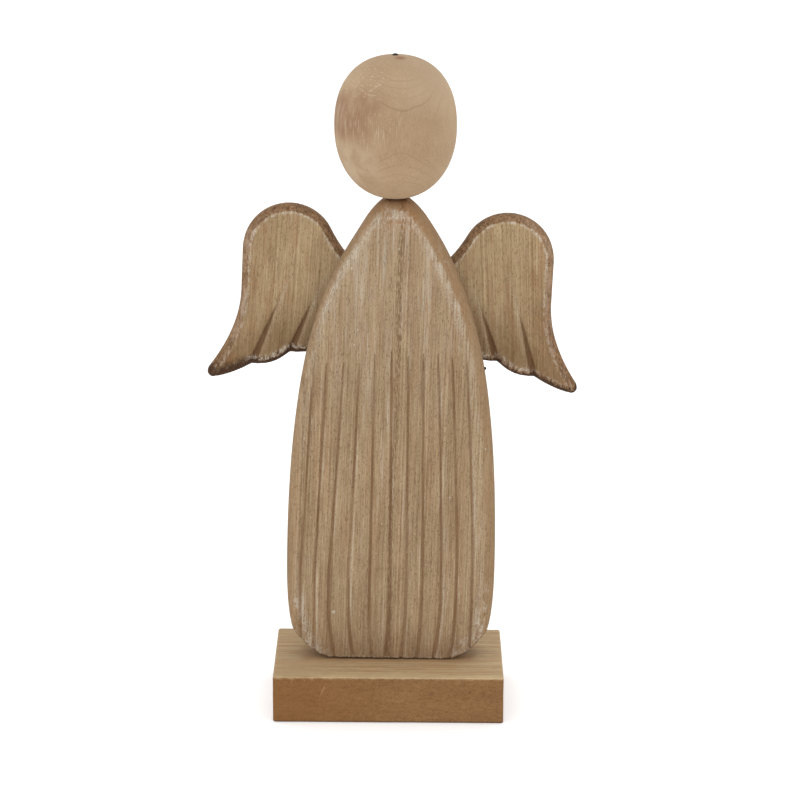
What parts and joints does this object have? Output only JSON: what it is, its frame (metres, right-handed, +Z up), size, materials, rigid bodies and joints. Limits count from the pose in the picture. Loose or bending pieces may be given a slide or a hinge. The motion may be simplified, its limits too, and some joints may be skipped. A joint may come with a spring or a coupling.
{
  "type": "angel ornament",
  "caption": "Free-standing wooden angel: pleated flat robe board on a block, turned egg head on a nail, sawn feathered wings fixed behind the shoulders.",
  "frame": {"origin": "middle of the base block's underside", "axes": "+Z up through the robe to the head, +X to the viewer's right as the pleated face is seen, +Y from the pleated face to the wings"},
  "size_m": [0.1609, 0.062, 0.2872],
  "materials": {
    "base_wood": "sanded, brown wash",
    "robe_wood": "open grain, brown wash, traces of white lime",
    "wing_wood": "open grain, scorched edges, traces of white lime",
    "head_wood": "turned, fine sanded, bare",
    "nail_steel": "dull bright wire",
    "screw_steel": "zinc plated"
  },
  "bodies": {
    "root": {"base_block": "base_wood", "robe_board": "robe_wood", "left_wing": "wing_wood", "right_wing": "wing_wood", "head": "head_wood", "neck_nail": "nail_steel", "base_screw_left": "screw_steel", "base_screw_right": "screw_steel", "left_wing_brad_lower": "nail_steel", "left_wing_brad_upper": "nail_steel", "right_wing_brad_lower": "nail_steel", "right_wing_brad_upper": "nail_steel"}
  },
  "joints": []
}
